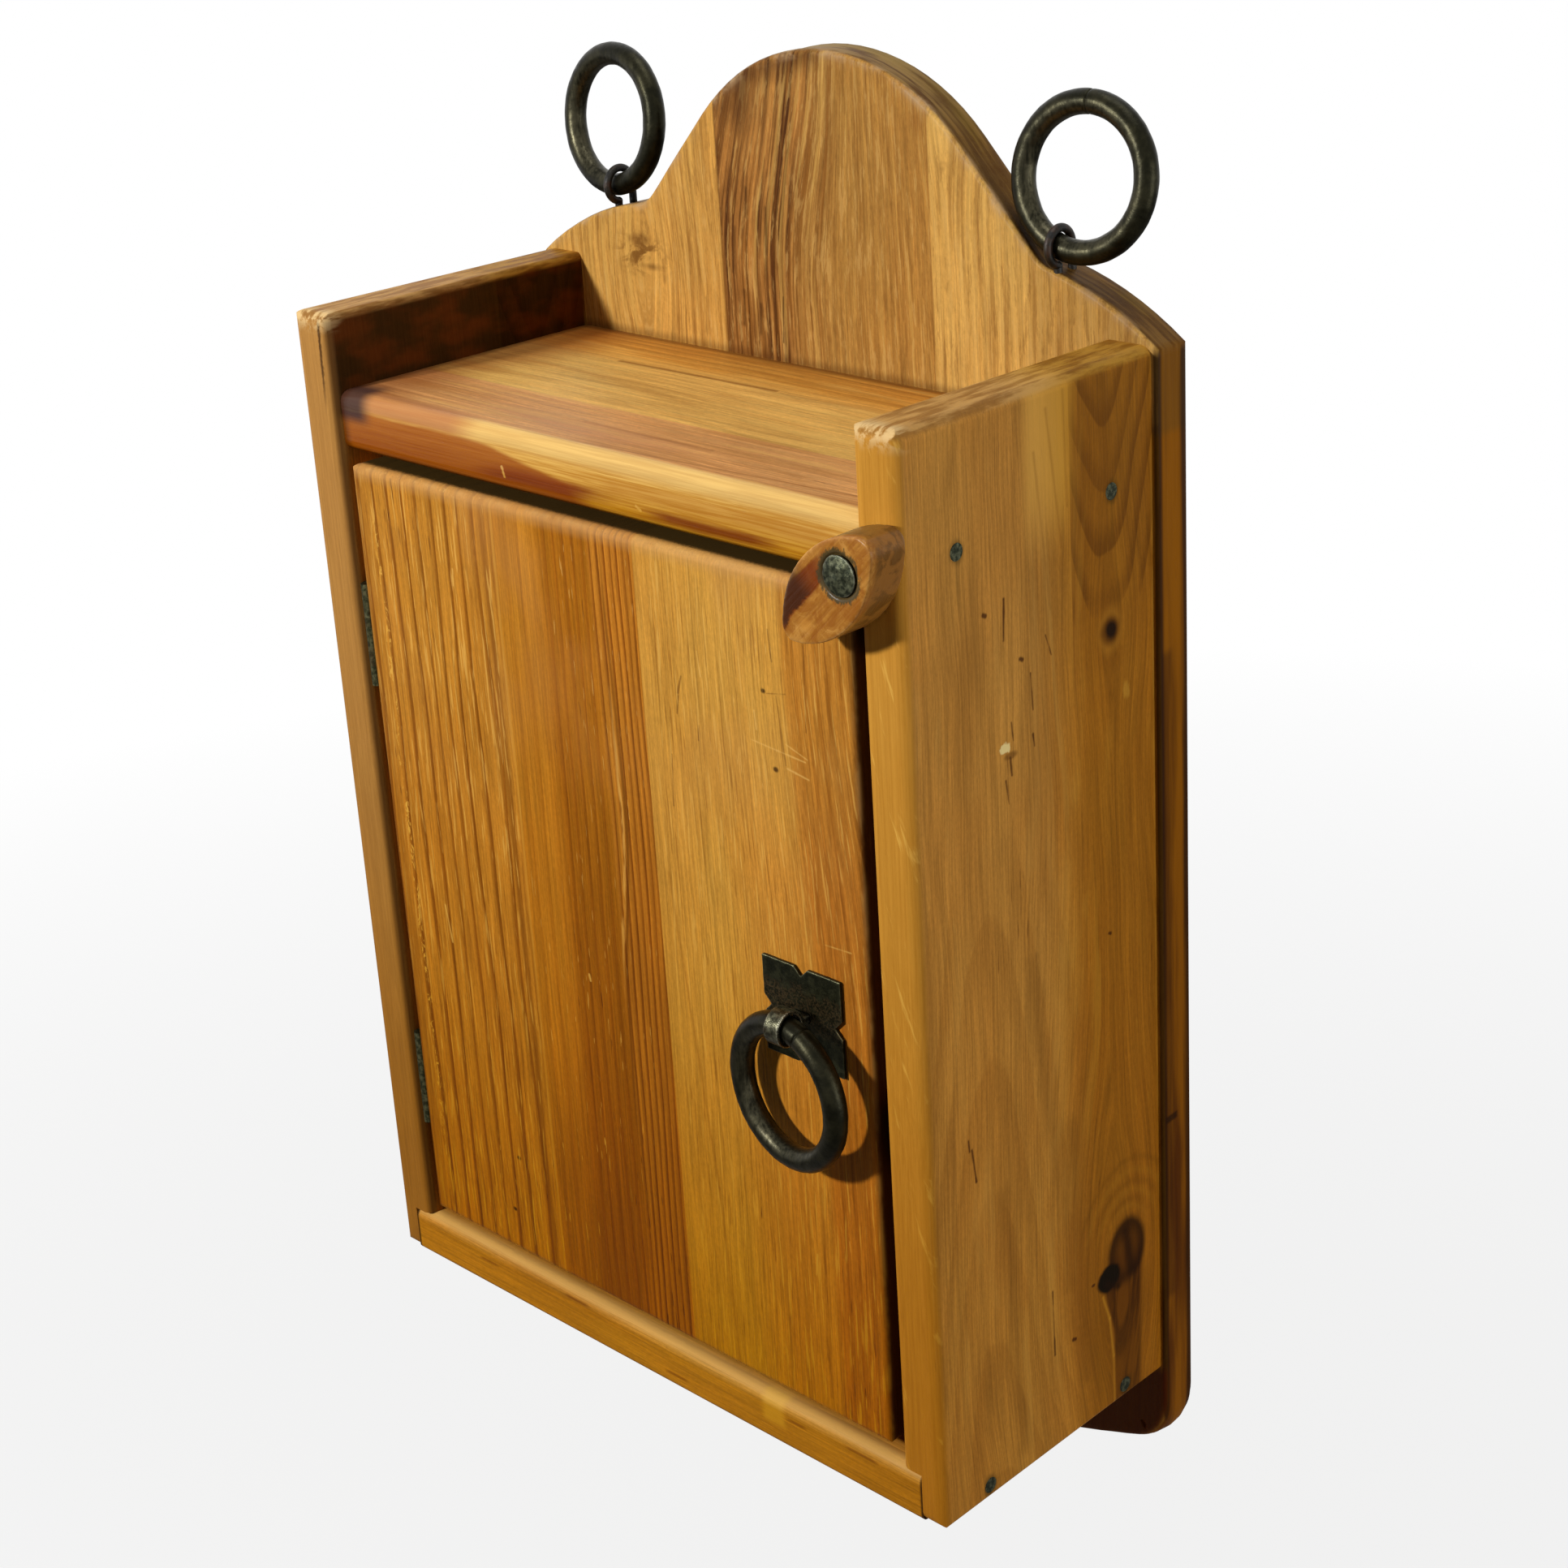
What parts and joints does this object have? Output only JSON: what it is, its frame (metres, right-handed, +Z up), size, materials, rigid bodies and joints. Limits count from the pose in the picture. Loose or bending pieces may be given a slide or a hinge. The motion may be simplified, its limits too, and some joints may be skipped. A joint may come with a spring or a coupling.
{
  "type": "hanging wall cabinet",
  "caption": "Small hanging wall cabinet of pine: an open tray over a hinged door, a back board with a bell-shaped crest, iron hanging rings, a ring pull and a wooden turn button.",
  "frame": {"origin": "on the back face of the back board, mid width, level with the underside of the box", "axes": "+X to the cabinet's right as seen from the front, +Y into the wall, +Z up"},
  "size_m": [0.2853, 0.1474, 0.509],
  "materials": {
    "pine": "oiled, edge-glued pine with knots",
    "pine_shelf": "stained, oiled pine",
    "pine_bottom": "oiled pine, worn light on its front ridge",
    "button_wood": "varnished pine with a dark figure",
    "ring_iron": "blackened forged iron with bright worn edges",
    "plate_iron": "blackened forged iron plate",
    "strap_steel": "worn grey steel strap",
    "hinge_steel": "tarnished steel",
    "nail_iron": "dull grey-green iron",
    "wire_iron": "black iron wire"
  },
  "bodies": {
    "cabinet": {"back_board": "pine", "side_left": "pine", "side_right": "pine", "top_shelf": "pine_shelf", "bottom_board": "pine_bottom", "door_stop": "pine_bottom", "side_nails_left": "nail_iron", "side_nails_right": "nail_iron", "back_nails": "nail_iron", "frame_leaf_upper": "hinge_steel", "frame_leaf_lower": "hinge_steel", "hinge_pin_upper": "hinge_steel", "hinge_pin_lower": "hinge_steel", "frame_leaf_screws": "hinge_steel", "button_nail": "nail_iron", "staple_left": "wire_iron", "staple_right": "wire_iron"},
    "door": {"door": "pine", "door_leaf_upper": "hinge_steel", "door_leaf_lower": "hinge_steel", "door_leaf_screws": "hinge_steel", "pull_plate": "plate_iron", "pull_strap": "strap_steel"},
    "turn_button": {"turn_button": "button_wood"},
    "pull_ring": {"pull_ring": "ring_iron"},
    "hang_ring_left": {"hang_ring_left": "ring_iron"},
    "hang_ring_right": {"hang_ring_right": "ring_iron"}
  },
  "joints": [
    {"name": "door_hinge", "type": "hinge", "parent": "cabinet", "child": "door", "pos_m": [-0.12, -0.128, 0.1665], "axis": [0, 0, -1], "range_deg": [0, 110]},
    {"name": "button_turn", "type": "hinge", "parent": "cabinet", "child": "turn_button", "pos_m": [0.13, -0.1388, 0.3305], "axis": [0, 1, 0], "continuous": true},
    {"name": "pull_swing", "type": "hinge", "parent": "door", "child": "pull_ring", "pos_m": [0.0895, -0.14, 0.1725], "axis": [-0.9945, 0.1045, 0], "range_deg": [0, 160]},
    {"name": "hang_swing_left", "type": "hinge", "parent": "cabinet", "child": "hang_ring_left", "pos_m": [-0.1025, -0.0105, 0.39611], "axis": [0.9847, -0.0588, 0.164], "range_deg": [0, 110]},
    {"name": "hang_swing_right", "type": "hinge", "parent": "cabinet", "child": "hang_ring_right", "pos_m": [0.1025, -0.012, 0.39611], "axis": [0.9522, 0.0098, -0.3052], "range_deg": [0, 60]}
  ]
}
